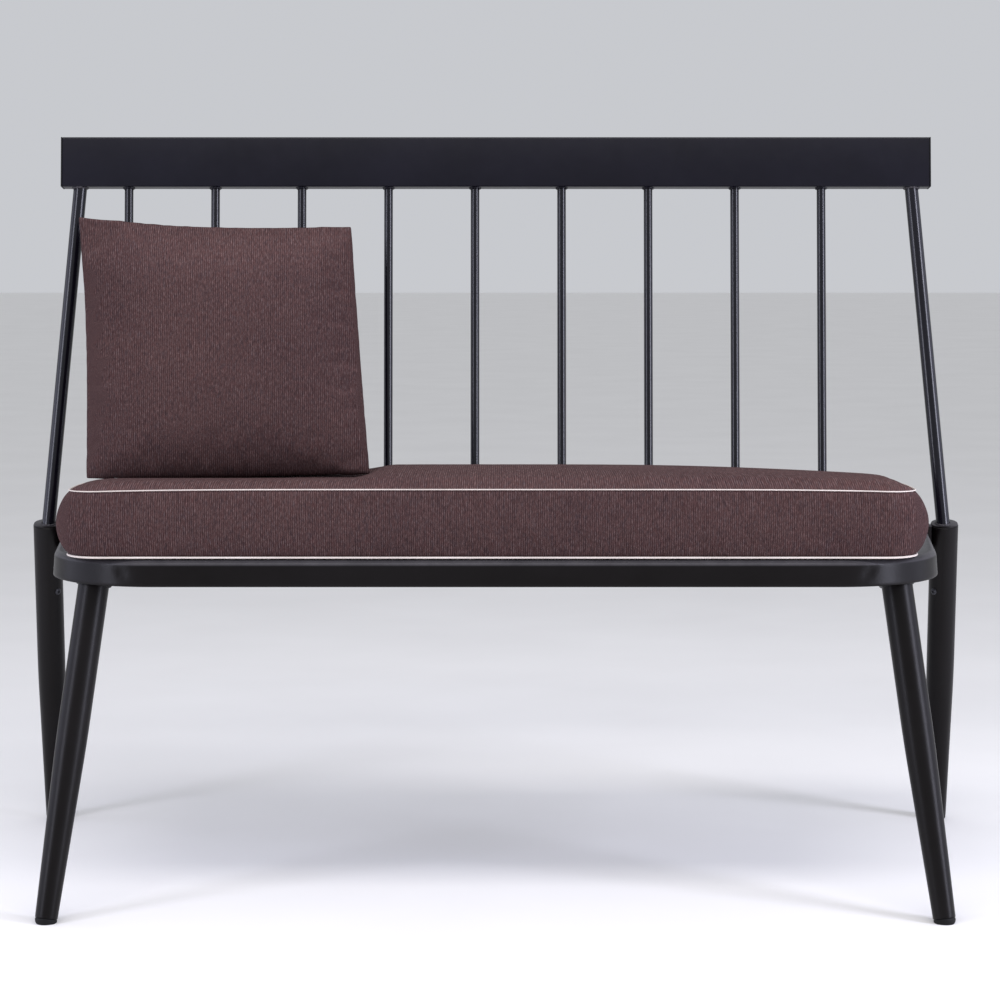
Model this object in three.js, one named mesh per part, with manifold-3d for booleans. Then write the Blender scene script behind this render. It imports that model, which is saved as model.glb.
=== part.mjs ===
// Entryway bench: a welded and bolted steel frame with a spindle back, a piped box cushion and a
// loose pillow. Millimetres, +Z up, front towards -Y, origin on the floor midway between the feet.
import * as THREE from "three";
import { mergeVertices } from "three/addons/utils/BufferGeometryUtils.js";
import Module from "manifold-3d";

const wasm = await Module();
wasm.setup();

// ---- Driving dimensions ----
const GAP = 0.3; // between pieces that touch
const SEAT_TOP = 437;
const SEAT_SKIRT = 32;
const SHEET = 2; // thickness of the pressed seat sheet
const SEAT_ROLL = 6; // radius of its rolled top edge
const SEAT_FRONT = 245; // distance of the front edge from the middle
const SEAT_BACK = 169.4;
const SEAT_FRONT_CORNER = { x: 416, radius: 140 };
const SEAT_REAR_CORNER = { x: 574, radius: 12 };

const FRONT_FOOT = new THREE.Vector3(544.4, -281, 0); // right-hand side
const FRONT_LEG_AT_SKIRT = new THREE.Vector3(493.8, -184, SEAT_TOP - SEAT_SKIRT);
const REAR_FOOT = new THREE.Vector3(627.3, 281, 0);
const REAR_LEG_TOP = new THREE.Vector3(615.4, 186.1, 432);
const LEG_RADIUS = 19;
const LEG_WALL = 1.5;
const LEG_END_RADIUS = 13.7; // at the floor
const LEG_TAPER_LENGTH = 224; // measured up from the floor
const GLIDE_HEIGHT = 5.5;
const GLIDE_RADIUS = 13.4;

const BACK_Y = 185; // of the leaning back's plane at the seat's height
const BACK_LEAN = THREE.MathUtils.degToRad(8.15);
const POST_RADIUS = 9.2;
const POST_WALL = 1.5;
const POST_FOOT_X = 613; // a little inboard of the leg's axis, at the seat's height
const POST_TOP_X = 572.6; // where a post meets the underside of the top rail
const RAIL_BOTTOM = 459; // up the leaning back from the seat's top
const RAIL = { length: 1196, depth: 25, height: 68.6, wall: 1.5, cap: 2 };
const POST_IN_RAIL = 40;
const SPINDLE_RADIUS = 6;
const SPINDLE_COUNT = 9;
const FIRST_SPINDLE_X = -505.5;
const SPINDLE_PITCH = 119.2;
const SPINDLE_IN_RAIL = 12;
const SPINDLE_BELOW_SEAT = 26;

const REAR_RAIL = { depth: 28, height: 30, wall: 1.5, top: 433 };
const BRACKET = { inner: 548, depth: 25, thick: 4, boltX: 566 };
const BRACE_X = [-300, 0, 300];
const BRACE = { width: 30, height: 18, wall: 1.5 };
const PAN_SCREW_X = [-450, -150, 150, 450];
const LEG_PLATE = { x: 470, y: -165, radius: 44, thick: 4 };
const LEG_BOLTS = [[-27, -4], [-4, 27]]; // from the centre of the right-hand plate
const BOLT = { shank: 3, hole: 3.3, head: 5.5, headHeight: 4 };

const SOCKET = { disc: 18.3, discHeight: 2, spigot: 17.2, bore: 14.5, depth: 130, stub: 45 };
const LOCK_SCREW = { below: 93, turn: THREE.MathUtils.degToRad(47), head: 4.6, headHeight: 1.6 };

const CUSHION = { left: -528, right: 513, front: -236, back: 152, bottom: 437.7, top: 523.1 };
const CUSHION_FRONT_RADIUS = 60;
const CUSHION_BACK_RADIUS = 110;
const CUSHION_BULGE = 12; // how far the side band swells past the piping
const CUSHION_CROWN = 2.4;
const CLOTH = 2.2; // thickness of the cover cloth with its lining
const PIPING_RADIUS = 2.2;

const PILLOW = {
  bottomLeft: new THREE.Vector3(-536, 46, 530),
  bottomRight: new THREE.Vector3(-169, 46, 530),
  topLeft: new THREE.Vector3(-568, 207, 850),
  topRight: new THREE.Vector3(-200, 209, 838),
  halfThickness: 56,
  edge: 3, // half the thickness where the panels are sewn together
  bow: 0.06, // how far the middle of each edge is drawn in, as a share of the half width
  steps: 10,
};

// ---- Materials ----
function finish(color, roughness, metalness) {
  return new THREE.MeshStandardMaterial({ color, roughness, metalness });
}
const powderCoat = finish("#24232b", 0.5, 0.3);
const plastic = finish("#141416", 0.7, 0);
const zincSteel = finish("#3a3a40", 0.4, 0.8);
const cushionCloth = finish("#544042", 0.95, 0);
const pipingCloth = finish("#e6e2e0", 0.9, 0);
const foam = finish("#e8dfc0", 0.95, 0);
const fibre = finish("#efefef", 0.95, 0);

// ---- Solids ----
function toSolid(geometry) {
  const bare = geometry.clone();
  bare.deleteAttribute("normal");
  bare.deleteAttribute("uv");
  const merged = mergeVertices(bare, 1e-4);
  const triangles = [];
  for (let i = 0; i < merged.index.count; i += 3) {
    const [a, b, c] = [0, 1, 2].map((k) => merged.index.getX(i + k));
    if (a !== b && b !== c && c !== a) {
      triangles.push(a, b, c);
    }
  }
  return new wasm.Manifold(new wasm.Mesh({
    numProp: 3,
    vertProperties: new Float32Array(merged.attributes.position.array),
    triVerts: new Uint32Array(triangles),
  }));
}

function toGeometry(solid) {
  const mesh = solid.getMesh();
  const geometry = new THREE.BufferGeometry();
  geometry.setAttribute("position", new THREE.BufferAttribute(mesh.vertProperties, 3));
  geometry.setIndex(new THREE.BufferAttribute(mesh.triVerts, 1));
  geometry.computeVertexNormals();
  return geometry;
}

// Cut every geometry in `cutters` out of `geometry`; all are in the same frame.
function cut(geometry, cutters) {
  let solid = toSolid(geometry);
  for (const cutter of cutters) {
    solid = solid.subtract(toSolid(cutter));
  }
  return toGeometry(solid);
}

function join(geometries) {
  const solids = geometries.map(toSolid);
  return toGeometry(solids.reduce((whole, next) => whole.add(next)));
}

function inFrame(geometry, matrix) {
  return geometry.clone().applyMatrix4(matrix);
}

// The frame whose origin is `from` and whose +Z points at `to`.
function frameAlong(from, to) {
  const direction = to.clone().sub(from).normalize();
  const turn = new THREE.Quaternion().setFromUnitVectors(new THREE.Vector3(0, 0, 1), direction);
  return new THREE.Matrix4().compose(from, turn, new THREE.Vector3(1, 1, 1));
}

// A solid rod on the Z axis between two heights.
function rod(radius, from, to, segments = 16) {
  const geometry = new THREE.CylinderGeometry(radius, radius, to - from, segments);
  return geometry.rotateX(Math.PI / 2).translate(0, 0, (from + to) / 2);
}

// A turned piece on the Z axis from [radius, height] points.
function turned(profile, segments = 24) {
  const points = profile.map(([r, z]) => new THREE.Vector2(r, z));
  return new THREE.LatheGeometry(points, segments).rotateX(Math.PI / 2);
}

// A pipe on the Z axis, its ends open.
function pipe(outer, inner, from, to, segments = 20) {
  return turned([[inner, from], [outer, from], [outer, to], [inner, to], [inner, from]], segments);
}

function box(low, high) {
  const size = high.map((value, i) => value - low[i]);
  const geometry = new THREE.BoxGeometry(...size);
  return geometry.translate(...low.map((value, i) => value + size[i] / 2));
}

// A rectangular hollow section along X (or Y), centred on the origin, its ends open.
function hollowSection(length, depth, height, wall, alongY = false) {
  const rectangle = (Kind, a, b) => {
    const path = new Kind();
    path.moveTo(-a, -b).lineTo(a, -b).lineTo(a, b).lineTo(-a, b).closePath();
    return path;
  };
  const shape = rectangle(THREE.Shape, height / 2, depth / 2);
  shape.holes.push(rectangle(THREE.Path, height / 2 - wall, depth / 2 - wall));
  const geometry = new THREE.ExtrudeGeometry(shape, { depth: length, bevelEnabled: false });
  geometry.translate(0, 0, -length / 2).rotateY(Math.PI / 2);
  return alongY ? geometry.rotateZ(Math.PI / 2) : geometry;
}

// A hexagon-head bolt on the Z axis: its head below z = 0 and its shank above.
function bolt(length) {
  const head = rod(BOLT.head, -BOLT.headHeight, 0, 6);
  return join([head, rod(BOLT.shank, -BOLT.headHeight / 2, length, 8)]);
}

// ---- Rounded outlines and what is lofted through them ----
// The convex outline around four circles, given anticlockwise, drawn in by `inset`.
function outline(circles, inset) {
  const normalAngle = (a, b) => {
    const along = Math.atan2(b.y - a.y, b.x - a.x);
    return along - Math.acos((a.radius - b.radius) / Math.hypot(b.x - a.x, b.y - a.y));
  };
  const points = [];
  circles.forEach((circle, i) => {
    const start = normalAngle(circles.at(i - 1), circle);
    let end = normalAngle(circle, circles[(i + 1) % circles.length]);
    if (end < start) {
      end += 2 * Math.PI;
    }
    for (let k = 0; k <= circle.steps; k += 1) {
      const angle = start + ((end - start) * k) / circle.steps;
      const radius = circle.radius - inset;
      points.push([circle.x + radius * Math.cos(angle), circle.y + radius * Math.sin(angle)]);
    }
  });
  return points;
}

// A closed solid through [inset, height] rings of an outline. The first and last rings are capped,
// unless the profile closes on itself. The profile runs down the outside.
function loft(circles, profile, closed = false) {
  const rings = profile.map(([inset, z]) => outline(circles, inset).map(([x, y]) => [x, y, z]));
  const size = rings[0].length;
  const triangles = [];
  const count = closed ? rings.length : rings.length - 1;
  for (let r = 0; r < count; r += 1) {
    const next = (r + 1) % rings.length;
    for (let i = 0; i < size; i += 1) {
      const j = (i + 1) % size;
      triangles.push([r * size + i, next * size + i, next * size + j]);
      triangles.push([r * size + i, next * size + j, r * size + j]);
    }
  }
  if (!closed) {
    const last = (rings.length - 1) * size;
    for (let i = 1; i < size - 1; i += 1) {
      triangles.push([0, i, i + 1]);
      triangles.push([last, last + i + 1, last + i]);
    }
  }
  return fromTriangles(rings.flat(), triangles);
}

function fromTriangles(vertices, triangles) {
  const geometry = new THREE.BufferGeometry();
  geometry.setAttribute("position", new THREE.Float32BufferAttribute(vertices.flat(), 3));
  geometry.setIndex(triangles.flat());
  geometry.computeVertexNormals();
  return geometry;
}

// ---- The assembly ----
const bench = new THREE.Group();
const back = new THREE.Group();
back.position.set(0, BACK_Y, SEAT_TOP);
back.rotation.x = -BACK_LEAN;
back.updateMatrix();
bench.add(back);

function add(name, geometry, material, matrix = new THREE.Matrix4(), parent = bench) {
  const mesh = new THREE.Mesh(geometry, material);
  mesh.name = name;
  mesh.applyMatrix4(matrix);
  parent.add(mesh);
}

const SIDES = [["left", -1], ["right", 1]];

function onSide(point, side) {
  return new THREE.Vector3(point.x * side, point.y, point.z);
}

// ---- Legs, glides and the sockets that carry the back ----
const aboveFloor = box([-1000, -1000, 0], [1000, 1000, 1000]);

function legProfile(length) {
  const start = GLIDE_HEIGHT + GAP;
  return [
    [LEG_END_RADIUS, start],
    [LEG_RADIUS, LEG_TAPER_LENGTH],
    [LEG_RADIUS, length],
    [LEG_RADIUS - LEG_WALL, length],
    [LEG_RADIUS - LEG_WALL, LEG_TAPER_LENGTH],
    [LEG_END_RADIUS - LEG_WALL, start],
    [LEG_END_RADIUS, start],
  ];
}

function footGlide(frame) {
  const plug = LEG_END_RADIUS - LEG_WALL - GAP;
  const blank = turned([
    [0, -6],
    [GLIDE_RADIUS, -6],
    [GLIDE_RADIUS, GLIDE_HEIGHT - 1],
    [GLIDE_RADIUS - 1, GLIDE_HEIGHT],
    [plug, GLIDE_HEIGHT],
    [plug, GLIDE_HEIGHT + 20],
    [0, GLIDE_HEIGHT + 20],
  ], 20);
  const floorUp = inFrame(aboveFloor, frame.clone().invert());
  return toGeometry(toSolid(blank).intersect(toSolid(floorUp)));
}

function lockScrewFrame(side) {
  const top = REAR_LEG_TOP.distanceTo(REAR_FOOT);
  const outward = new THREE.Vector3(-side * Math.sin(LOCK_SCREW.turn), -Math.cos(LOCK_SCREW.turn), 0);
  const seat = outward.clone().multiplyScalar(LEG_RADIUS);
  seat.z = top - LOCK_SCREW.below;
  return frameAlong(seat, seat.clone().add(outward));
}

for (const [word, side] of SIDES) {
  // Front legs run up inside the seat's skirt to a plate under the sheet.
  const foot = onSide(FRONT_FOOT, side);
  const frontFrame = frameAlong(foot, onSide(FRONT_LEG_AT_SKIRT, side));
  const plateBottom = SEAT_TOP - SHEET - GAP - LEG_PLATE.thick;
  const overLeg = box([-1000, -1000, plateBottom - GAP], [1000, 1000, 1000]);
  const frontBlank = turned(legProfile(460));
  const frontLeg = cut(frontBlank, [inFrame(overLeg, frontFrame.clone().invert())]);
  add(`front_leg_${word}`, frontLeg, powderCoat, frontFrame);
  add(`front_glide_${word}`, footGlide(frontFrame), plastic, frontFrame);

  // Rear legs end square at the seat's height.
  const rearFoot = onSide(REAR_FOOT, side);
  const rearTop = onSide(REAR_LEG_TOP, side);
  const rearFrame = frameAlong(rearFoot, rearTop);
  const length = rearFoot.distanceTo(rearTop);
  const screwFrame = lockScrewFrame(side);
  const screwHole = inFrame(rod(BOLT.hole, -8, 8, 10), screwFrame);
  add(`rear_leg_${word}`, cut(turned(legProfile(length)), [screwHole]), powderCoat, rearFrame);
  add(`rear_glide_${word}`, footGlide(rearFrame), plastic, rearFrame);

  // A socket plugs the leg and holds the post on a stub.
  const postTop = new THREE.Vector3(POST_TOP_X * side, 0, RAIL_BOTTOM).applyMatrix4(back.matrix);
  const postFoot = new THREE.Vector3(POST_FOOT_X * side, BACK_Y, SEAT_TOP);
  const postFrame = frameAlong(postFoot, postTop);
  const postInLeg = rearFrame.clone().invert().multiply(postFrame);
  const discTop = length + SOCKET.discHeight;
  const plug = turned([
    [0, length - 6],
    [SOCKET.bore, length - 6],
    [SOCKET.bore, length - SOCKET.depth],
    [SOCKET.spigot, length - SOCKET.depth],
    [SOCKET.spigot, length + GAP],
    [SOCKET.disc, length + GAP],
    [SOCKET.disc, discTop - 1],
    [SOCKET.disc - 1, discTop],
    [0, discTop],
  ]);
  const stub = inFrame(rod(POST_RADIUS - POST_WALL - GAP, -8, SOCKET.stub), postInLeg);
  add(`post_socket_${word}`, cut(join([plug, stub]), [screwHole]), powderCoat, rearFrame);

  const screw = join([
    rod(LOCK_SCREW.head, GAP, GAP + LOCK_SCREW.headHeight, 12),
    rod(BOLT.shank, -5, GAP + LOCK_SCREW.headHeight / 2, 8),
  ]);
  const recess = rod(2, GAP + 0.5, 10, 6);
  add(`lock_screw_${word}`, cut(screw, [recess]), zincSteel, rearFrame.clone().multiply(screwFrame));

  // The post is mitred to the socket's disc and ends inside the top rail.
  const postLength = postFoot.distanceTo(postTop);
  const post = pipe(POST_RADIUS, POST_RADIUS - POST_WALL, -20, postLength + POST_IN_RAIL);
  const underDisc = box([-60, -60, -200], [60, 60, discTop + GAP]);
  const legInPost = postInLeg.clone().invert();
  add(`back_post_${word}`, cut(post, [inFrame(underDisc, legInPost)]), powderCoat, postFrame);
}

// ---- Spindles and the top rail, in the frame of the leaning back ----
const spindleX = Array.from({ length: SPINDLE_COUNT }, (_, i) => FIRST_SPINDLE_X + i * SPINDLE_PITCH);
spindleX.forEach((x, i) => {
  const spindle = rod(SPINDLE_RADIUS, -SPINDLE_BELOW_SEAT, RAIL_BOTTOM + SPINDLE_IN_RAIL);
  add(`spindle_${i + 1}`, spindle, powderCoat, new THREE.Matrix4().makeTranslation(x, 0, 0), back);
});

const railFrame = new THREE.Matrix4().makeTranslation(0, 0, RAIL_BOTTOM + RAIL.height / 2);
const toRail = railFrame.clone().invert();
const spindleHole = rod(SPINDLE_RADIUS + GAP, -100, RAIL_BOTTOM + 20);
const railHoles = spindleX.map((x) => inFrame(spindleHole, toRail).translate(x, 0, 0));
for (const [, side] of SIDES) {
  const postTop = new THREE.Vector3(POST_TOP_X * side, 0, RAIL_BOTTOM);
  const postFrame = frameAlong(postTop, postTop.clone().multiplyScalar(2).sub(
    new THREE.Vector3(POST_FOOT_X * side, 0, 0)));
  const hole = inFrame(rod(POST_RADIUS + 2 * GAP, -40, 50), postFrame);
  railHoles.push(inFrame(hole, toRail));
}
const railTube = hollowSection(RAIL.length - 2 * RAIL.cap - 2 * GAP, RAIL.depth, RAIL.height, RAIL.wall);
add("top_rail", cut(railTube, railHoles), powderCoat, railFrame, back);

for (const [word, side] of SIDES) {
  const end = RAIL.length / 2;
  const [y, z] = [RAIL.depth / 2, RAIL.height / 2];
  const inside = RAIL.wall + GAP;
  const plate = box([end - RAIL.cap, -y, -z], [end, y, z]);
  const plug = box([end - 14, -y + inside, -z + inside], [end - RAIL.cap / 2, y - inside, z - inside]);
  const cap = join([plate, plug]);
  if (side < 0) {
    cap.rotateZ(Math.PI);
  }
  add(`rail_end_cap_${word}`, cap, plastic, railFrame, back);
}

// ---- Rear seat rail, between the rear legs ----
const rearRailY = SEAT_BACK + GAP + REAR_RAIL.depth / 2;
const rearRailZ = REAR_RAIL.top - REAR_RAIL.height / 2;
const rearRailBottom = rearRailZ - REAR_RAIL.height / 2;
const legCutters = SIDES.map(([, side]) => {
  const frame = frameAlong(onSide(REAR_FOOT, side), onSide(REAR_LEG_TOP, side));
  return inFrame(rod(LEG_RADIUS + GAP, 100, 500, 24), frame);
});
const spindleCutters = spindleX.map((x) => inFrame(
  rod(SPINDLE_RADIUS + GAP, -SPINDLE_BELOW_SEAT - GAP, 30).translate(x, 0, 0), back.matrix));
const panScrewCutters = PAN_SCREW_X.map((x) => rod(BOLT.hole, -12, 12, 10)
  .rotateX(-Math.PI / 2).translate(x, SEAT_BACK, rearRailZ));
const bracketBoltCutters = SIDES.map(([, side]) => rod(BOLT.hole, rearRailBottom - 10, rearRailBottom + 10, 10)
  .translate(BRACKET.boltX * side, rearRailY, 0));
const rearTube = hollowSection(2 * REAR_LEG_TOP.x, REAR_RAIL.depth, REAR_RAIL.height, REAR_RAIL.wall)
  .translate(0, rearRailY, rearRailZ);
add("rear_seat_rail", cut(rearTube, [
  ...legCutters,
  ...spindleCutters,
  ...panScrewCutters,
  ...bracketBoltCutters,
]), powderCoat);

SIDES.forEach(([word, side], i) => {
  const top = rearRailBottom - GAP;
  const [near, far] = [BRACKET.inner * side, REAR_LEG_TOP.x * side];
  const blank = box(
    [Math.min(near, far), rearRailY - BRACKET.depth / 2, top - BRACKET.thick],
    [Math.max(near, far), rearRailY + BRACKET.depth / 2, top],
  );
  add(`rear_rail_bracket_${word}`, cut(blank, [legCutters[i], bracketBoltCutters[i]]), powderCoat);
  const boltFrame = new THREE.Matrix4().makeTranslation(
    BRACKET.boltX * side, rearRailY, top - BRACKET.thick - GAP);
  add(`rear_rail_bolt_${word}`, bolt(BRACKET.thick + 8), zincSteel, boltFrame);
});

// ---- Seat pan: one pressed sheet with a rolled edge and a skirt, open below ----
const seatCircles = [
  { x: -SEAT_FRONT_CORNER.x, y: -SEAT_FRONT + SEAT_FRONT_CORNER.radius, radius: SEAT_FRONT_CORNER.radius },
  { x: SEAT_FRONT_CORNER.x, y: -SEAT_FRONT + SEAT_FRONT_CORNER.radius, radius: SEAT_FRONT_CORNER.radius },
  { x: SEAT_REAR_CORNER.x, y: SEAT_BACK - SEAT_REAR_CORNER.radius, radius: SEAT_REAR_CORNER.radius },
  { x: -SEAT_REAR_CORNER.x, y: SEAT_BACK - SEAT_REAR_CORNER.radius, radius: SEAT_REAR_CORNER.radius },
].map((circle) => ({ ...circle, steps: circle.radius > 50 ? 9 : 2 }));

function edgeRoll(radius, top, steps) {
  return Array.from({ length: steps + 1 }, (_, i) => {
    const angle = (Math.PI / 2) * (i / steps);
    return [radius * (1 - Math.sin(angle)), top - radius * (1 - Math.cos(angle))];
  });
}
const skirtBottom = SEAT_TOP - SEAT_SKIRT;
const rollOutside = edgeRoll(SEAT_ROLL, SEAT_TOP, 3);
const rollInside = edgeRoll(SEAT_ROLL - SHEET, SEAT_TOP - SHEET, 2).map(([inset, z]) => [inset + SHEET, z]).reverse();
const panBlank = loft(seatCircles, [
  ...rollOutside,
  [0, skirtBottom],
  [SHEET, skirtBottom],
  ...rollInside,
]);
const legBoltPlaces = SIDES.flatMap(([word, side]) => LEG_BOLTS.map(([x, y], i) => ({
  name: `front_leg_bolt_${word}_${i + 1}`,
  side,
  x: (LEG_PLATE.x + x) * side,
  y: LEG_PLATE.y + y,
})));
const legBoltCutters = legBoltPlaces.map(({ x, y }) => rod(BOLT.hole, SEAT_TOP - 20, SEAT_TOP + 5, 10)
  .translate(x, y, 0));
add("seat_pan", cut(panBlank, [...legBoltCutters, ...panScrewCutters]), powderCoat);

// Plates that the front legs are welded to, bolted up into the sheet.
const plateTop = SEAT_TOP - SHEET - GAP;
for (const [word, side] of SIDES) {
  const plate = rod(LEG_PLATE.radius, plateTop - LEG_PLATE.thick, plateTop, 24)
    .translate(LEG_PLATE.x * side, LEG_PLATE.y, 0);
  const holes = legBoltCutters.filter((_, i) => legBoltPlaces[i].side === side);
  add(`front_leg_plate_${word}`, cut(plate, holes), powderCoat);
}
for (const { name, x, y } of legBoltPlaces) {
  const frame = new THREE.Matrix4().makeTranslation(x, y, plateTop - LEG_PLATE.thick - GAP);
  add(name, bolt(LEG_PLATE.thick + SHEET), zincSteel, frame);
}

// Box-section braces under the sheet, between its rolled front and back edges.
const braceFront = -SEAT_FRONT + SEAT_ROLL + GAP;
const braceBack = SEAT_BACK - SEAT_ROLL - GAP;
const braceGeometry = hollowSection(braceBack - braceFront, BRACE.width, BRACE.height, BRACE.wall, true);
BRACE_X.forEach((x, i) => {
  const frame = new THREE.Matrix4().makeTranslation(
    x, (braceFront + braceBack) / 2, plateTop - BRACE.height / 2);
  add(`seat_brace_${i + 1}`, braceGeometry, powderCoat, frame);
});

// Screws through the back skirt into the rear rail.
PAN_SCREW_X.forEach((x, i) => {
  const backwards = new THREE.Matrix4().makeRotationX(-Math.PI / 2);
  backwards.setPosition(x, SEAT_BACK - SHEET - GAP, rearRailZ);
  add(`pan_screw_${i + 1}`, bolt(SHEET + 6), zincSteel, backwards);
});

// ---- Box cushion: top panel, side band, bottom panel, two rows of piping and a foam core ----
const cushionCircles = [
  [CUSHION.left, CUSHION.front, CUSHION_FRONT_RADIUS, 1, 1],
  [CUSHION.right, CUSHION.front, CUSHION_FRONT_RADIUS, -1, 1],
  [CUSHION.right, CUSHION.back, CUSHION_BACK_RADIUS, -1, -1],
  [CUSHION.left, CUSHION.back, CUSHION_BACK_RADIUS, 1, -1],
].map(([x, y, radius, inX, inY]) => ({ x: x + inX * radius, y: y + inY * radius, radius, steps: 5 }));

const seamBottom = CUSHION.bottom + PIPING_RADIUS;
const seamTop = CUSHION.top - PIPING_RADIUS;

function pipingRing(z) {
  const profile = Array.from({ length: 6 }, (_, i) => {
    const angle = -(2 * Math.PI * i) / 6;
    return [-PIPING_RADIUS * Math.cos(angle), z + PIPING_RADIUS * Math.sin(angle)];
  });
  return loft(cushionCircles, profile, true);
}
add("cushion_piping_bottom", pipingRing(seamBottom), pipingCloth);
add("cushion_piping_top", pipingRing(seamTop), pipingCloth);

// The side of the cushion between two heights, `inward` of the outer face, from the top down.
function sideCurve(top, bottom, inward, steps = 4) {
  return Array.from({ length: steps + 1 }, (_, i) => {
    const share = i / steps;
    return [inward - CLOTH / 2 - CUSHION_BULGE * Math.sin(Math.PI * share), top + (bottom - top) * share];
  });
}
const bandTop = seamTop - PIPING_RADIUS - GAP;
const bandBottom = seamBottom + PIPING_RADIUS + GAP;
add("cushion_side_band", loft(cushionCircles, [
  ...sideCurve(bandTop, bandBottom, 0),
  ...sideCurve(bandTop, bandBottom, CLOTH).reverse(),
], true), cushionCloth);

// Rings of the crowned top, from its middle out to the seam, `below` the outer face.
function crownCurve(below, edge, steps = 2) {
  return Array.from({ length: steps + 1 }, (_, i) => {
    const share = 1 - i / steps;
    const rise = CUSHION_CROWN * Math.sin((Math.PI / 2) * share);
    return [edge + (CUSHION_FRONT_RADIUS - 8 - edge) * share, seamTop + CLOTH / 2 + rise - below];
  });
}
const panelEdge = PIPING_RADIUS + GAP;
add("cushion_top_panel", loft(cushionCircles, [
  ...crownCurve(0, panelEdge),
  ...crownCurve(CLOTH, panelEdge).reverse(),
]), cushionCloth);
add("cushion_bottom_panel", loft(cushionCircles, [
  [panelEdge, CUSHION.bottom + CLOTH],
  [panelEdge, CUSHION.bottom],
]), cushionCloth);
add("cushion_foam", loft(cushionCircles, [
  ...crownCurve(CLOTH + GAP, panelEdge),
  ...sideCurve(bandTop, bandBottom, CLOTH + GAP),
  [panelEdge, CUSHION.bottom + CLOTH + GAP],
]), foam);

// ---- Pillow: a front and a back panel sewn at the edge, around a fibre filling ----
const pillowUp = PILLOW.topLeft.clone().add(PILLOW.topRight)
  .sub(PILLOW.bottomLeft).sub(PILLOW.bottomRight).normalize();
const pillowAcross = PILLOW.bottomRight.clone().sub(PILLOW.bottomLeft).normalize();
const pillowForward = pillowAcross.clone().cross(pillowUp).normalize(); // out of the front panel

// A point of the pillow's middle sheet; u runs left to right and v bottom to top, each -1 to 1.
function pillowMiddle(u, v) {
  const across = (1 + u * (1 - PILLOW.bow * (1 - v * v))) / 2;
  const up = (1 + v * (1 - PILLOW.bow * (1 - u * u))) / 2;
  const bottom = PILLOW.bottomLeft.clone().lerp(PILLOW.bottomRight, across);
  const top = PILLOW.topLeft.clone().lerp(PILLOW.topRight, across);
  return bottom.lerp(top, up);
}

function pillowSwell(u, v) {
  const swell = ((1 - u * u) * (1 - v * v)) ** 0.55;
  return PILLOW.edge + (PILLOW.halfThickness - PILLOW.edge) * swell;
}

// A closed sheet between two offsets from the middle, each a function of u and v.
function pillowSheet(front, rear) {
  const n = PILLOW.steps;
  const vertices = [];
  for (const offset of [front, rear]) {
    for (let i = 0; i <= n; i += 1) {
      for (let j = 0; j <= n; j += 1) {
        const [u, v] = [(2 * i) / n - 1, (2 * j) / n - 1];
        const point = pillowMiddle(u, v).addScaledVector(pillowForward, offset(u, v));
        vertices.push(point.toArray());
      }
    }
  }
  const at = (i, j, face) => face * (n + 1) ** 2 + i * (n + 1) + j;
  const triangles = [];
  const quad = (a, b, c, d) => triangles.push([a, b, c], [a, c, d]);
  for (let i = 0; i < n; i += 1) {
    for (let j = 0; j < n; j += 1) {
      quad(at(i, j, 0), at(i + 1, j, 0), at(i + 1, j + 1, 0), at(i, j + 1, 0));
      quad(at(i, j, 1), at(i, j + 1, 1), at(i + 1, j + 1, 1), at(i + 1, j, 1));
    }
    quad(at(i, 0, 0), at(i, 0, 1), at(i + 1, 0, 1), at(i + 1, 0, 0));
    quad(at(i + 1, n, 0), at(i + 1, n, 1), at(i, n, 1), at(i, n, 0));
    quad(at(0, i + 1, 0), at(0, i + 1, 1), at(0, i, 1), at(0, i, 0));
    quad(at(n, i, 0), at(n, i, 1), at(n, i + 1, 1), at(n, i + 1, 0));
  }
  return fromTriangles(vertices, triangles);
}
const inner = (u, v) => pillowSwell(u, v) - CLOTH;
const filling = (u, v) => inner(u, v) - GAP;
add("pillow_front_panel", pillowSheet(pillowSwell, inner), cushionCloth);
add("pillow_back_panel", pillowSheet((u, v) => -inner(u, v), (u, v) => -pillowSwell(u, v)), cushionCloth);
add("pillow_filling", pillowSheet(filling, (u, v) => -filling(u, v)), fibre);

export default bench;
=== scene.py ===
"""The looks of the entryway bench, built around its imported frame. Metres, +Z up, front towards -Y."""

import math

import bpy
import numpy as np
from mathutils import Matrix, Vector, noise
from mathutils.bvhtree import BVHTree


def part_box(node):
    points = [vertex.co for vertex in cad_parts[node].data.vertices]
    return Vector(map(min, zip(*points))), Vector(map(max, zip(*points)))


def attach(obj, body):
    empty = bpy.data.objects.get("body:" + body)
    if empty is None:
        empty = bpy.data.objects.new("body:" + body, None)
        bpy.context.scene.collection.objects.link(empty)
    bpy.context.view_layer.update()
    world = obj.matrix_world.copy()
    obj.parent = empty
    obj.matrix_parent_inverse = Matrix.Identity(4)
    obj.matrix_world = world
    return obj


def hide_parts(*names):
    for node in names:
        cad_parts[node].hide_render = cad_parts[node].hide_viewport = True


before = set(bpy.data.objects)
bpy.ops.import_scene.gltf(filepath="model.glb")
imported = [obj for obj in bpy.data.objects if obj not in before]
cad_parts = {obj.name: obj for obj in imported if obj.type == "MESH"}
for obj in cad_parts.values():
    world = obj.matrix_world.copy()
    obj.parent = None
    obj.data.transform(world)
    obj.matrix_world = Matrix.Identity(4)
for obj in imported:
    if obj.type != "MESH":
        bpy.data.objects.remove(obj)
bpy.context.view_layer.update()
MM = 0.001

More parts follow.
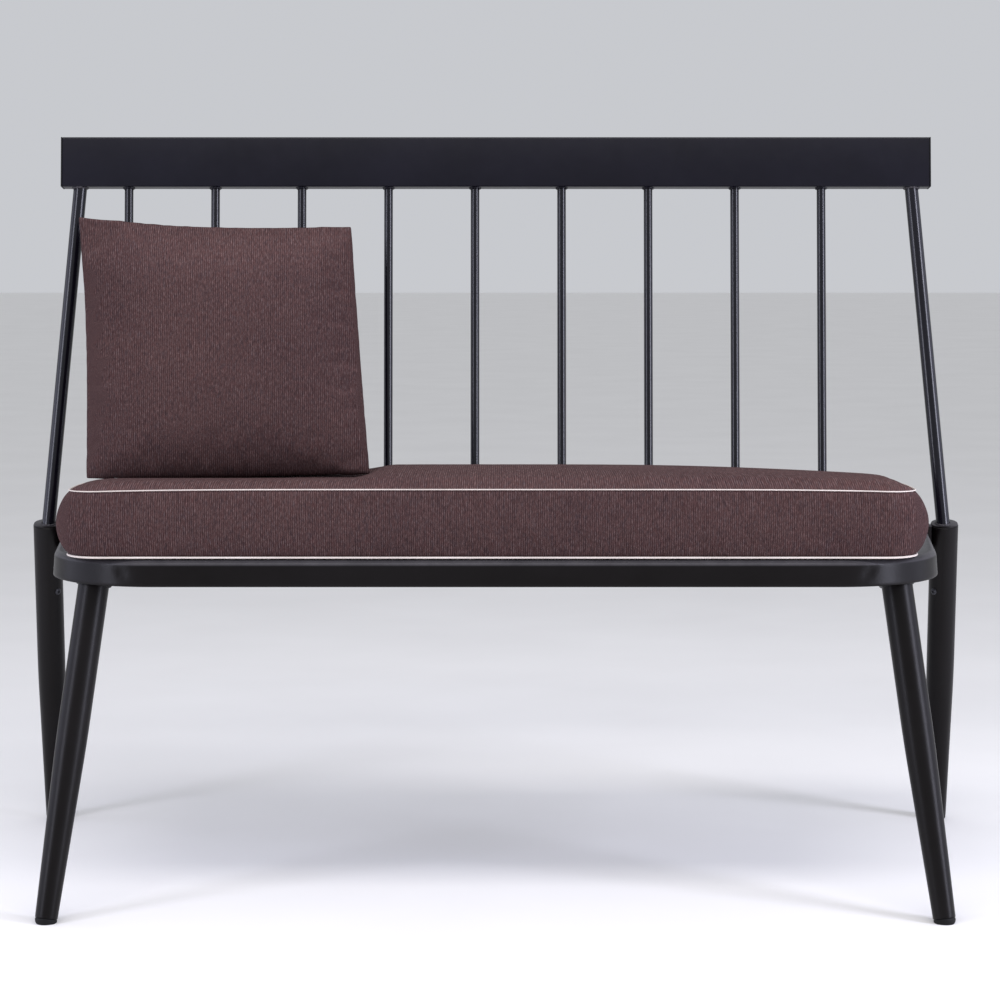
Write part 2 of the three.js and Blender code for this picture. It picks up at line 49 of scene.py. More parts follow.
# ---- Sizes shared with the frame ----
PAN_LOW, PAN_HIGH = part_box("seat_pan")
SEAT_TOP = PAN_HIGH.z
GAP = 0.3 * MM  # between pieces that touch
SHEET = 2 * MM  # thickness of the pressed seat sheet
SEAT_ROLL = 8 * MM  # radius of its rolled top edge
DRAFT = 2.5 * MM  # the skirt flares out by this much towards its lower edge
SEAT_FRONT_CORNER = (416 * MM, 140 * MM)  # x of the arc's centre, radius
SEAT_REAR_CORNER = (574 * MM, 12 * MM)
PRESS_MARK_X = 452 * MM
PRESS_MARK_Z = 421.5 * MM
PRESS_MARK_DEPTH = 1.6 * MM

FRONT_FOOT = Vector((0.5444, -0.281, 0))  # right-hand side
FRONT_LEG_AT_SKIRT = Vector((0.4938, -0.184, PAN_LOW.z))
REAR_FOOT = Vector((0.6273, 0.281, 0))
REAR_LEG_TOP = Vector((0.6154, 0.1861, 0.432))
LEG_RADIUS = 19 * MM
LEG_WALL = 1.5 * MM
LEG_END_RADIUS = 13.7 * MM  # at the floor
LEG_TAPER_LENGTH = 224 * MM  # measured up from the floor
FRONT_LEG_UNCUT = 450 * MM  # before its top is cut level under the leg plate
GLIDE_HEIGHT = 5.5 * MM
GLIDE_RADIUS = 13.4 * MM

BACK_Y = 185 * MM  # of the leaning back's plane at the seat's height
BACK_LEAN = math.radians(8.15)
POST_RADIUS = 9.2 * MM
POST_WALL = 1.5 * MM
POST_FOOT_X = 613 * MM
POST_TOP_X = 572.6 * MM
POST_IN_RAIL = 40 * MM
RAIL_BOTTOM = 459 * MM  # up the leaning back
RAIL_LENGTH = 1.196
RAIL_DEPTH = 25 * MM
RAIL_HEIGHT = 68.6 * MM
RAIL_CAP = 2 * MM
RAIL_WALL = 1.5 * MM
RAIL_CORNER = 1.8 * MM
SPINDLE_RADIUS = 6 * MM
SPINDLE_IN_RAIL = 12 * MM
SPINDLE_BELOW_SEAT = 26 * MM
SPINDLE_X = [(-505.5 + 119.2 * i) * MM for i in range(9)]
SOCKET_DISC = 2 * MM  # height of the disc that closes a rear leg
SOCKET_DISC_RADIUS = 18.3 * MM
SPIGOT_RADIUS = 17.2 * MM
SPIGOT_BORE = 14.5 * MM
SPIGOT_DEPTH = 130 * MM
STUB_RADIUS = 7.4 * MM  # of the socket's stub inside the post
STUB_LENGTH = 45 * MM
LOCK_SCREW_BELOW = 93 * MM  # the top of the leg
LOCK_SCREW_TURN = math.radians(47)  # from straight ahead towards the other leg
BAR_WALL = 1.5 * MM  # of the rear seat rail and the braces
BAR_CORNER = 2.2 * MM
BRACKET_END = 594.5 * MM  # from the middle, where a rear bracket meets its leg
BOLT_HEAD_HEIGHT = 4 * MM
SIDES = (("left", -1), ("right", 1))

BACK = Matrix.Translation((0, BACK_Y, SEAT_TOP)) @ Matrix.Rotation(-BACK_LEAN, 4, "X")


def on_side(point, side):
    return Vector((point.x * side, point.y, point.z))


def frame_along(start, end):
    """The frame whose origin is start and whose +Z points at end."""
    turn = Vector((0, 0, 1)).rotation_difference(end - start)
    return Matrix.Translation(start) @ turn.to_matrix().to_4x4()


# ---- Materials ----
def add_node(tree, kind, inputs=None, **settings):
    node = tree.nodes.new(kind)
    for key, value in settings.items():
        setattr(node, key, value)
    for key, value in (inputs or {}).items():
        if isinstance(value, bpy.types.NodeSocket):
            tree.links.new(value, node.inputs[key])
        else:
            node.inputs[key].default_value = value
    return node


def new_material(name, **sockets):
    material = bpy.data.materials.new(name)
    material.use_nodes = True
    shader = material.node_tree.nodes["Principled BSDF"]
    for key, value in sockets.items():
        shader.inputs[key.replace("_", " ")].default_value = value
    return material, material.node_tree, shader


def object_place(tree):
    return add_node(tree, "ShaderNodeTexCoord").outputs["Object"]


def ramp(tree, factor, stops):
    node = add_node(tree, "ShaderNodeValToRGB", {"Fac": factor})
    elements = node.color_ramp.elements
    while len(elements) < len(stops):
        elements.new(0.5)
    for element, (position, color) in zip(elements, stops):
        element.position = position
        element.color = (*color, 1)
    return node.outputs["Color"]


def scaled(tree, vector, scale, turn=(0, 0, 0)):
    inputs = {"Vector": vector, "Scale": scale, "Rotation": turn}
    return add_node(tree, "ShaderNodeMapping", inputs).outputs["Vector"]


def noise_at(tree, vector, scale=1.0, detail=2.0, roughness=0.5, distortion=0.0):
    node = add_node(tree, "ShaderNodeTexNoise", {
        "Vector": vector, "Scale": scale, "Detail": detail,
        "Roughness": roughness, "Distortion": distortion,
    })
    return node.outputs["Fac"]


def remap(tree, value, low, high):
    node = add_node(tree, "ShaderNodeMapRange", {"Value": value, "To Min": low, "To Max": high})
    return node.outputs["Result"]


def smooth_step(tree, value, start, end, low=0.0, high=1.0):
    node = add_node(tree, "ShaderNodeMapRange", {
        "Value": value, "From Min": start, "From Max": end, "To Min": low, "To Max": high,
    }, interpolation_type="SMOOTHSTEP")
    return node.outputs["Result"]


def multiplied(tree, color, other):
    node = add_node(tree, "ShaderNodeMix", {0: 1.0, 6: color, 7: other},
                    data_type="RGBA", blend_type="MULTIPLY")
    return node.outputs[2]


def bump(tree, shader, height, strength, distance, under=None):
    inputs = {"Height": height, "Strength": strength, "Distance": distance}
    if under is not None:
        inputs["Normal"] = under
    node = add_node(tree, "ShaderNodeBump", inputs)
    tree.links.new(node.outputs["Normal"], shader.inputs["Normal"])
    return node.outputs["Normal"]


PAINTED_HIGHLIGHT_FROM = SEAT_TOP - 7.2 * MM  # the height above which a painted highlight pales the coat


def powder_coat(name, dark, pale, specular, smoothest, roughest, relief, painted_edge_highlight=False):
    """Satin black powder coat: faint cloudiness, fine orange peel, a few rubbed patches of other gloss,
    and if asked a painted highlight on the seat's rolled edge.
    """
    material, tree, shader = new_material(name, Specular_IOR_Level=specular)
    place = object_place(tree)
    cloud = noise_at(tree, place, 9, 3)
    color = ramp(tree, cloud, [(0.3, dark), (0.7, pale)])
    if painted_edge_highlight:  # painted highlight: paler colour on the seat's rolled edge and on what lies above it
        height = add_node(tree, "ShaderNodeSeparateXYZ", {"Vector": place}).outputs["Z"]
        highlight_mask = smooth_step(tree, height, PAINTED_HIGHLIGHT_FROM, PAINTED_HIGHLIGHT_FROM + 2.4 * MM)
        # painted highlight colour, far paler than the coat
        painted_highlight_color = ramp(tree, noise_at(tree, place, 35, 4, 0.6), [
            (0.3, (0.030, 0.028, 0.031)), (0.7, (0.046, 0.043, 0.047))])
        color = add_node(tree, "ShaderNodeMix", {0: highlight_mask, 6: color, 7: painted_highlight_color},
                         data_type="RGBA").outputs[2]
    tree.links.new(color, shader.inputs["Base Color"])
    rubbed = noise_at(tree, place, 60, 4, 0.6)
    tree.links.new(remap(tree, rubbed, smoothest, roughest), shader.inputs["Roughness"])
    peel = noise_at(tree, place, 900, 2)
    ripple = noise_at(tree, place, 70, 2)
    under = bump(tree, shader, ripple, 0.3, relief)
    bump(tree, shader, peel, 0.2, relief / 4, under)
    return material


def moulded_plastic():
    """Black moulded plastic with a fine spark-eroded grain."""
    material, tree, shader = new_material("moulded_plastic", Specular_IOR_Level=0.2)
    place = object_place(tree)
    cloud = noise_at(tree, place, 40, 3)
    color = ramp(tree, cloud, [(0.3, (0.0030, 0.0028, 0.0030)), (0.7, (0.0052, 0.0050, 0.0053))])
    tree.links.new(color, shader.inputs["Base Color"])
    tree.links.new(remap(tree, cloud, 0.55, 0.75), shader.inputs["Roughness"])
    bump(tree, shader, noise_at(tree, place, 1500, 2), 0.35, 0.12 * MM)
    return material


def fastener_steel():
    """Blackened steel with fine turning marks and brighter handled spots."""
    material, tree, shader = new_material("fastener_steel", Metallic=0.85)
    place = object_place(tree)
    wear = noise_at(tree, place, 220, 4, 0.6)
    color = ramp(tree, wear, [(0.35, (0.022, 0.022, 0.026)), (0.75, (0.09, 0.09, 0.10))])
    tree.links.new(color, shader.inputs["Base Color"])
    tree.links.new(remap(tree, wear, 0.28, 0.5), shader.inputs["Roughness"])
    bump(tree, shader, noise_at(tree, place, 1800, 2), 0.3, 0.08 * MM)
    return material


def slub_cloth(name, turn=(0, 0, 0)):
    """Brown-mauve upholstery cloth: fine slubbed threads up the sides and back over the top, with painted
    light that makes faces turned up lighter and the sides darker.
    """
    material, tree, shader = new_material(name, Roughness=1.0, Specular_IOR_Level=0.04)
    coordinates = add_node(tree, "ShaderNodeTexCoord").outputs
    place = scaled(tree, coordinates["Object"], (1, 1, 1), turn)
    normal = scaled(tree, coordinates["Normal"], (1, 1, 1), turn)

    # On the ends the threads are counted along Y in place of X.
    turned_to = add_node(tree, "ShaderNodeSeparateXYZ", {"Vector": normal})
    facing = turned_to.outputs["X"]
    sideways = add_node(tree, "ShaderNodeMath", {0: facing}, operation="ABSOLUTE").outputs[0]
    at_end = smooth_step(tree, sideways, 0.62, 0.80)
    axes = add_node(tree, "ShaderNodeSeparateXYZ", {"Vector": place})
    swapped = add_node(tree, "ShaderNodeCombineXYZ", {
        "X": axes.outputs["Y"], "Y": axes.outputs["X"], "Z": axes.outputs["Z"]})
    cloth = add_node(tree, "ShaderNodeMix", {
        0: at_end, 4: place, 5: swapped.outputs["Vector"]}, data_type="VECTOR").outputs[1]

    threads = noise_at(tree, scaled(tree, cloth, (1150, 40, 230)), 1, 2, 0.6)
    slubs = add_node(tree, "ShaderNodeTexWave", {
        "Vector": scaled(tree, cloth, (121, 2, 14)), "Scale": 1.0, "Distortion": 2.4, "Detail": 1.5,
        "Detail Scale": 1.6}, bands_direction="X").outputs["Fac"]
    flecks = noise_at(tree, scaled(tree, cloth, (500, 60, 160)), 1, 1, 0.5)
    tone = noise_at(tree, cloth, 7, 3)
    yarn = add_node(tree, "ShaderNodeMix", {0: 0.22, 2: threads, 3: slubs}).outputs[0]
    color = ramp(tree, yarn, [
        (0.28, (0.034, 0.0182, 0.0184)),
        (0.45, (0.054, 0.0302, 0.0296)),
        (0.58, (0.072, 0.0422, 0.0408)),
        (0.74, (0.128, 0.0875, 0.0850)),
    ])
    fleck = ramp(tree, flecks, [
        (0.28, (0.80, 0.86, 0.92)), (0.5, (1, 1, 1)), (0.74, (1.07, 0.98, 0.98))])
    shade = ramp(tree, tone, [(0.3, (0.93, 0.93, 0.95)), (0.7, (1.06, 1.05, 1.04))])
    tinted = multiplied(tree, multiplied(tree, color, fleck), shade)
    painted_light_from_above = smooth_step(tree, turned_to.outputs["Z"], 0.35, 0.95, 0.88, 1.32)  # painted light and shade: lighter where it faces up, darker where it faces sideways or down
    final = add_node(tree, "ShaderNodeVectorMath", {0: tinted, "Scale": painted_light_from_above}, operation="SCALE")
    tree.links.new(final.outputs["Vector"], shader.inputs["Base Color"])
    weft = noise_at(tree, scaled(tree, cloth, (120, 300, 800)), 1, 1)
    under = bump(tree, shader, yarn, 0.5, 0.7 * MM)
    bump(tree, shader, weft, 0.25, 0.3 * MM, under)
    return material


def piping_cloth():
    """Off-white twill wrapped round a cord, a little greyed where it has been handled."""
    material, tree, shader = new_material("piping_cloth", Roughness=0.85, Specular_IOR_Level=0.25)
    place = object_place(tree)
    weave = noise_at(tree, scaled(tree, place, (700, 700, 1500), (0, math.radians(40), 0)), 1, 1)
    soil = noise_at(tree, place, 14, 3)
    color = ramp(tree, soil, [(0.3, (0.50, 0.44, 0.40)), (0.65, (0.62, 0.555, 0.51))])
    tree.links.new(color, shader.inputs["Base Color"])
    bump(tree, shader, weave, 0.5, 0.35 * MM)
    return material


# the seat coat carries a painted highlight on its rolled edge and on what lies above it
SEAT_COAT = powder_coat("seat_coat", (0.0032, 0.0024, 0.0024), (0.0050, 0.0040, 0.0042),
                        specular=0.14, smoothest=0.29, roughest=0.40, relief=0.5 * MM, painted_edge_highlight=True)
BACK_COAT = powder_coat("back_coat", (0.0034, 0.0031, 0.0062), (0.0052, 0.0048, 0.0092),
                        specular=0.17, smoothest=0.29, roughest=0.40, relief=0.4 * MM)
ROD_COAT = powder_coat("rod_coat", (0.0020, 0.0018, 0.0040), (0.0032, 0.0030, 0.0060),
                       specular=0.34, smoothest=0.16, roughest=0.23, relief=0.02 * MM)
PLASTIC = moulded_plastic()
FASTENER = fastener_steel()
TWILL = piping_cloth()
CUSHION_CLOTH = slub_cloth("cushion_cloth")


# ---- Meshes ----
def new_piece(name, vertices, faces, material, body, slot, replaces=(), sharp=35):
    mesh = bpy.data.meshes.new(name)
    mesh.from_pydata([tuple(v) for v in vertices], [], [tuple(f) for f in faces])
    mesh.validate()
    mesh.shade_smooth()
    mesh.set_sharp_from_angle(angle=math.radians(sharp))
    mesh.materials.append(material)
    piece = bpy.data.objects.new(name, mesh)
    bpy.context.scene.collection.objects.link(piece)
    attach(piece, body)
    if replaces:
        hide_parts(*replaces)
    return piece


def steel(name, solid, replaces=(), material=None, slot="frame_steel"):
    """A rigid piece of the frame from (vertices, faces)."""
    return new_piece(name, *solid, material or SEAT_COAT, "frame", slot, replaces)


def moved(solid, matrix):
    vertices, faces = solid
    return [matrix @ Vector(v) for v in vertices], faces


def joined(*solids):
    vertices, faces = [], []
    for more, their_faces in solids:
        start = len(vertices)
        vertices += list(more)
        faces += [[start + i for i in face] for face in their_faces]
    return vertices, faces


def ring_faces(rings, size, closed):
    faces = []
    for r in range(rings if closed else rings - 1):
        a, b = r * size, ((r + 1) % rings) * size
        faces += [(a + i, a + (i + 1) % size, b + (i + 1) % size, b + i) for i in range(size)]
    return faces


def turned(profile, steps=64, closed=False):
    """A turned piece on the Z axis from (radius, height) points running up the outside. A profile that
    isn't closed on itself is capped at its two ends."""
    vertices = []
    for radius, z in profile:
        for i in range(steps):
            angle = 2 * math.pi * i / steps
            vertices.append((radius * math.cos(angle), radius * math.sin(angle), z))
    faces = ring_faces(len(profile), steps, closed)
    if not closed:
        last = (len(profile) - 1) * steps
        faces.append(tuple(range(steps))[::-1])
        faces.append(tuple(range(last, last + steps)))
    return vertices, faces


def softened(points, radius, closed=False, steps=3):
    """The same outline with each corner rounded off."""
    out = []
    count = len(points)
    for i, (x, y) in enumerate(points):
        here = Vector((x, y))
        if not closed and i in (0, count - 1):
            out.append((x, y))
            continue
        before, after = Vector(points[i - 1]) - here, Vector(points[(i + 1) % count]) - here
        reach = min(radius, before.length * 0.45, after.length * 0.45)  # short of the side's middle
        start, end = here + before.normalized() * reach, here + after.normalized() * reach
        for k in range(steps + 1):
            t = k / steps
            out.append(tuple(start * (1 - t) ** 2 + here * 2 * t * (1 - t) + end * t * t))
    return out


def section_bar(length, depth, height, corner, wall, along_y=False):
    """A hollow section with rounded corners, along X (or Y), centred on the origin."""
    def loop(inset, x):
        a, b, r = depth / 2 - inset, height / 2 - inset, max(corner - inset, 0.2 * MM)
        square = softened([(-a, -b), (a, -b), (a, b), (-a, b)], r * 1.6, closed=True, steps=4)
        return [(x, y, z) for y, z in square]

    edge = 0.4 * MM
    end = length / 2
    rings = [loop(0, -end + edge), loop(0, end - edge), loop(edge, end), loop(wall, end),
             loop(wall, -end), loop(edge, -end)]
    vertices = [p for ring in rings for p in ring]
    solid = vertices, ring_faces(len(rings), len(rings[0]), True)
    return moved(solid, Matrix.Rotation(math.pi / 2, 4, "Z")) if along_y else solid


def block(low, high, bevel=0.6 * MM):
    """A box with softened edges."""
    (x0, y0, z0), (x1, y1, z1) = low, high
    rings = []
    for inset, z in ((bevel, z0), (bevel * 0.3, z0 + bevel * 0.3), (0, z0 + bevel),
                     (0, z1 - bevel), (bevel * 0.3, z1 - bevel * 0.3), (bevel, z1)):
        left, right, front, back = x0 + inset, x1 - inset, y0 + inset, y1 - inset
        square = [(left, front), (right, front), (right, back), (left, back)]
        rings.append([(x, y, z) for x, y in softened(square, bevel, closed=True)])
    size = len(rings[0])
    last = (len(rings) - 1) * size
    faces = ring_faces(len(rings), size, False)
    faces += [tuple(range(size))[::-1], tuple(range(last, last + size))]
    return [p for ring in rings for p in ring], faces


def hex_bolt(shank_length):
    """A hexagon-head bolt along +Z, its head below z = 0."""
    head, tall, shank, tip = 5.5 * MM, BOLT_HEAD_HEIGHT, 3 * MM, 0.6 * MM
    bevel = [(head * 0.86, -tall), (head * 0.97, -tall * 0.86), (head, -tall * 0.7)]
    hexagon = turned(bevel + [(head, 0)], 6)
    rod = turned([(shank, -0.2 * MM), (shank, shank_length - tip), (shank - tip, shank_length)], 20)
    return joined(hexagon, rod)


def weld_ring(matrix, radius, size, lumps, seed):
    """A rippled bead of weld round a tube, in the XY plane of matrix."""
    steps, sides = lumps * 5, 10
    vertices = []
    for i in range(steps):
        angle = 2 * math.pi * i / steps
        chance = noise.noise(Vector((seed, 3 * math.cos(angle), 3 * math.sin(angle))))
        ripple = 1 + 0.16 * math.cos(lumps * angle) + 0.22 * chance
        for k in range(sides):
            turn = 2 * math.pi * k / sides
            r = radius + size * ripple * 0.9 * math.cos(turn)
            vertices.append((r * math.cos(angle), r * math.sin(angle), size * ripple * math.sin(turn)))
    return moved((vertices, ring_faces(steps, sides, True)), matrix)


# ---- Legs, glides, sockets and posts ----
def tube_leg(length):
    """A leg's tube up +Z from just above the floor: tapered, then straight, with a plain bore."""
    edge = 0.5 * MM  # chamfer at each end
    start = GLIDE_HEIGHT + GAP
    blend = 30 * MM  # over which the taper eases into the straight tube, below and above
    slope = (LEG_RADIUS - LEG_END_RADIUS) / LEG_TAPER_LENGTH
    outside = [(LEG_END_RADIUS - edge, start), (LEG_END_RADIUS, start + edge)]
    for k in range(9):
        t = k / 8
        z = LEG_TAPER_LENGTH - blend + 2 * blend * t
        outside.append((LEG_RADIUS - slope * blend * (1 - t) ** 2, z))
    outside += [(LEG_RADIUS, length - edge), (LEG_RADIUS - edge, length)]
    inside = [(r - LEG_WALL, z) for r, z in (outside[-1], outside[-3], outside[0])]
    return turned(outside + inside, 72, closed=True)


def foot_glide(place):
    """A plug with a rounded lip. Its lowest ring is pressed flat on the floor."""
    plug = LEG_END_RADIUS - LEG_WALL - GAP
    lip = [(4 * MM, -4 * MM), (GLIDE_RADIUS - 4.5 * MM, -4 * MM), (GLIDE_RADIUS - 2.6 * MM, -2.8 * MM),
           (GLIDE_RADIUS - 1 * MM, -0.4 * MM), (GLIDE_RADIUS - 0.2 * MM, 2 * MM),
           (GLIDE_RADIUS, 3.6 * MM), (GLIDE_RADIUS - 0.1 * MM, GLIDE_HEIGHT - 0.7 * MM),
           (GLIDE_RADIUS - 0.8 * MM, GLIDE_HEIGHT)]
    stem = [(plug, GLIDE_HEIGHT), (plug, GLIDE_HEIGHT + 18 * MM), (plug - 1 * MM, GLIDE_HEIGHT + 20 * MM)]
    vertices, faces = moved(turned(lip + stem, 48), place)
    return [Vector((v.x, v.y, max(v.z, 0))) for v in vertices], faces


def build_front_leg(word, side):
    """The leg, its top cut level, and its glide. Gives back the bead of weld at its neck."""
    foot, at_skirt = on_side(FRONT_FOOT, side), on_side(FRONT_LEG_AT_SKIRT, side)
    place = frame_along(foot, at_skirt)
    along = place.to_3x3() @ Vector((0, 0, 1))
    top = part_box(f"front_leg_{word}")[1].z
    vertices, faces = moved(tube_leg(FRONT_LEG_UNCUT), place)
    vertices = [v if v.z <= top else v - along * ((v.z - top) / along.z) for v in vertices]
    steel(f"front_leg_tube_{word}", (vertices, faces), [f"front_leg_{word}"])
    glide = foot_glide(place)
    steel(f"front_glide_cap_{word}", glide, [f"front_glide_{word}"], PLASTIC, "glide_plastic")
    neck = frame_along(at_skirt, foot) @ Matrix.Translation((0, 0, 3.5 * MM))
    return weld_ring(neck, LEG_RADIUS + 0.2 * MM, size=3.2 * MM, lumps=7, seed=side)


def build_post_socket(word, leg, length, post):
    """The disc that closes the leg's top, with a spigot down the leg and a stub up the post."""
    foot, top = length - SPIGOT_DEPTH, length + SOCKET_DISC
    under_disc, step = length - 0.2 * MM, 0.7 * MM
    plug = turned([
        (SPIGOT_BORE, length - 6 * MM), (SPIGOT_BORE, foot), (SPIGOT_RADIUS, foot),
        (SPIGOT_RADIUS, under_disc), (SOCKET_DISC_RADIUS, under_disc), (SOCKET_DISC_RADIUS, top - step),
        (SOCKET_DISC_RADIUS - 0.2 * MM, top - 0.2 * MM), (SOCKET_DISC_RADIUS - step, top)], 64)
    stub = turned([(STUB_RADIUS, -8 * MM), (STUB_RADIUS, STUB_LENGTH)], 32)
    socket = joined(moved(plug, leg), moved(stub, post))
    steel(f"post_socket_disc_{word}", socket, [f"post_socket_{word}"])


def build_back_post(word, leg, length, post, reach):
    """The post's tube, its foot cut to stand on the socket's disc."""
    low, high, bore = -2 * MM, reach + POST_IN_RAIL, POST_RADIUS - POST_WALL
    tube = turned([(POST_RADIUS, low), (POST_RADIUS, high), (bore, high), (bore, low)], 56, closed=True)
    vertices, faces = moved(tube, post)
    to_leg, to_post = leg.inverted(), post.inverted()
    along = to_leg.to_3x3() @ (post.to_3x3() @ Vector((0, 0, 1)))
    stand = length + SOCKET_DISC + GAP
    mitred = []
    for v in vertices:
        local = to_leg @ v
        if (to_post @ v).z < 0:
            local = local + along * ((stand - local.z) / along.z)
        mitred.append(leg @ local)
    steel(f"back_post_tube_{word}", (mitred, faces), [f"back_post_{word}"], ROD_COAT)


def post_welds(side, leg, length, post_foot, post_top):
    """The beads of weld where a post stands on its disc and where it meets the top rail."""
    start = leg.inverted() @ post_foot
    along = leg.to_3x3().inverted() @ (post_top - post_foot)
    disc_top = length + SOCKET_DISC
    centre = start + along * ((disc_top - start.z) / along.z)
    on_disc = leg @ Matrix.Translation((centre.x, centre.y, disc_top))
    under_rail = BACK @ Matrix.Translation((POST_TOP_X * side, 0, RAIL_BOTTOM))
    return [weld_ring(on_disc, POST_RADIUS + 0.8 * MM, size=1.8 * MM, lumps=14, seed=side + 3),
            weld_ring(under_rail, POST_RADIUS + 0.6 * MM, size=1.9 * MM, lumps=14, seed=side + 6)]


def build_lock_screw(word, side, leg, length):
    """A domed screw head with a round recess, on the inner front of the leg."""
    facing = Vector((-side * math.sin(LOCK_SCREW_TURN), -math.cos(LOCK_SCREW_TURN), 0))
    seat = facing * LEG_RADIUS + Vector((0, 0, length - LOCK_SCREW_BELOW))
    shank = [(3, -5), (3, 0.2)]
    head = [(4.6, 0.3), (4.6, 0.9), (4.1, 1.5), (3, 1.9), (2.2, 1.95)]
    recess = [(2, 1.7), (2, 0.6)]
    dome = turned([(radius * MM, z * MM) for radius, z in shank + head + recess], 36)
    screw = moved(dome, leg @ frame_along(seat, seat + facing))
    steel(f"lock_screw_head_{word}", screw, [f"lock_screw_{word}"], FASTENER, "fastener_steel")


def build_legs():
    """Legs, glides, sockets, posts and lock screws, left then right, and one piece for their welds."""
    welds = []
    for word, side in SIDES:
        welds.append(build_front_leg(word, side))
        foot, top = on_side(REAR_FOOT, side), on_side(REAR_LEG_TOP, side)
        leg, length = frame_along(foot, top), (top - foot).length
        steel(f"rear_leg_tube_{word}", moved(tube_leg(length), leg), [f"rear_leg_{word}"])
        glide = foot_glide(leg)
        steel(f"rear_glide_cap_{word}", glide, [f"rear_glide_{word}"], PLASTIC, "glide_plastic")
        post_foot = Vector((POST_FOOT_X * side, BACK_Y, SEAT_TOP))
        post_top = BACK @ Vector((POST_TOP_X * side, 0, RAIL_BOTTOM))
        post = frame_along(post_foot, post_top)
        build_post_socket(word, leg, length, post)
        build_back_post(word, leg, length, post, (post_top - post_foot).length)
        welds += post_welds(side, leg, length, post_foot, post_top)
        build_lock_screw(word, side, leg, length)
    steel("frame_welds", joined(*welds))


def build_spindles():
    """Nine rods from the rear rail to the top rail, and one piece for their welds."""
    low, high = -SPINDLE_BELOW_SEAT, RAIL_BOTTOM + SPINDLE_IN_RAIL
    rod = turned([(SPINDLE_RADIUS, low), (SPINDLE_RADIUS, high)], 40)
    welds = []
    for i, x in enumerate(SPINDLE_X):
        foot = BACK @ Matrix.Translation((x, 0, 0))
        top = BACK @ Matrix.Translation((x, 0, RAIL_BOTTOM))
        steel(f"spindle_rod_{i + 1}", moved(rod, foot), [f"spindle_{i + 1}"], ROD_COAT)
        welds.append(weld_ring(top, SPINDLE_RADIUS + 0.5 * MM, size=2.1 * MM, lumps=9, seed=i))
        welds.append(weld_ring(foot, SPINDLE_RADIUS + 0.4 * MM, size=1.3 * MM, lumps=11, seed=i + 0.5))
    steel("spindle_welds", joined(*welds), material=BACK_COAT)


def build_top_rail():
    """The hollow section and a flanged plug in each of its ends."""
    place = BACK @ Matrix.Translation((0, 0, RAIL_BOTTOM + RAIL_HEIGHT / 2))
    length = RAIL_LENGTH - 2 * RAIL_CAP - 2 * GAP
    tube = section_bar(length, RAIL_DEPTH, RAIL_HEIGHT, RAIL_CORNER, RAIL_WALL)
    steel("top_rail_tube", moved(tube, place), ["top_rail"], BACK_COAT)
    y, z, end = RAIL_DEPTH / 2, RAIL_HEIGHT / 2, RAIL_LENGTH / 2
    inset = RAIL_WALL + GAP
    flange = block((end - RAIL_CAP, -y, -z), (end, y, z), 0.7 * MM)
    plug = block((end - 14 * MM, inset - y, inset - z), (end - RAIL_CAP / 2, y - inset, z - inset))
    for word, side in SIDES:
        turn = Matrix.Rotation(math.pi if side < 0 else 0, 4, "Z")
        cap = moved(joined(flange, plug), place @ turn)
        steel(f"rail_end_plug_{word}", cap, [f"rail_end_cap_{word}"], PLASTIC, "glide_plastic")


# ---- Seat pan and what is under it ----
def seat_outline(inset, spacing=6 * MM):
    """The rounded outline of the seat, drawn in by inset, anticlockwise from the front left."""
    (fx, fr), (rx, rr) = SEAT_FRONT_CORNER, SEAT_REAR_CORNER
    fy, ry = PAN_LOW.y + fr, PAN_HIGH.y - rr
    circles = [(-fx, fy, fr), (fx, fy, fr), (rx, ry, rr), (-rx, ry, rr)]

    def tangent_angle(a, b):
        dx, dy = b[0] - a[0], b[1] - a[1]
        return math.atan2(dy, dx) - math.acos((a[2] - b[2]) / math.hypot(dx, dy))

    def on_circle(circle, angle):
        x, y, radius = circle
        return x + (radius - inset) * math.cos(angle), y + (radius - inset) * math.sin(angle)

    points = []
    for i, circle in enumerate(circles):
        following = circles[(i + 1) % 4]
        start, end = tangent_angle(circles[i - 1], circle), tangent_angle(circle, following)
        if end < start:
            end += 2 * math.pi
        steps = max(6, round(circle[2] * (end - start) / spacing))
        points += [on_circle(circle, angle) for angle in np.linspace(start, end, steps + 1)]
        (x0, y0), (x1, y1) = on_circle(circle, end), on_circle(following, end)
        count = max(1, round(math.dist(circle[:2], following[:2]) / spacing))
        points += [(x0 + (x1 - x0) * k / count, y0 + (y1 - y0) * k / count) for k in range(1, count)]
    return points


def seat_section():
    """The pressed sheet's section as (inset, z): over the top, down the skirt, round the hem and back."""
    def roll(radius, top, offset, steps):
        return [(offset + radius * (1 - math.sin(a)), top - radius * (1 - math.cos(a)))
                for a in np.linspace(0, math.pi / 2, steps + 1)]

    low = PAN_LOW.z
    hem = 1.2 * MM
    fold = 0.35 * MM
    middle = 40 * MM  # any inset past the outline's corners, where the flat top starts
    outer = roll(SEAT_ROLL, SEAT_TOP, 0, 8)
    skirt = [(0, z) for z in np.linspace(outer[-1][1], low + hem, 9)[1:]]
    turned_in = [(fold, low + fold), (SHEET / 2, low), (SHEET - 0.3 * MM, low + fold), (SHEET, low + hem)]
    inner = roll(SEAT_ROLL - SHEET, SEAT_TOP - SHEET, SHEET, 5)[::-1]
    return [(middle, SEAT_TOP)] + outer + skirt + turned_in + inner + [(middle, SEAT_TOP - SHEET)]


def press_marks(x, z):
    """How deep the two short slanting creases in the front of the skirt are, from 0 to 1."""
    depth = 0
    for side in (-1, 1):
        across, up = x * side - PRESS_MARK_X, z - PRESS_MARK_Z
        long = (across * 0.55 + up * 0.83) / (10 * MM)
        short = (across * 0.83 - up * 0.55) / (4.5 * MM)
        depth += math.exp(-long * long - short * short)
    return depth


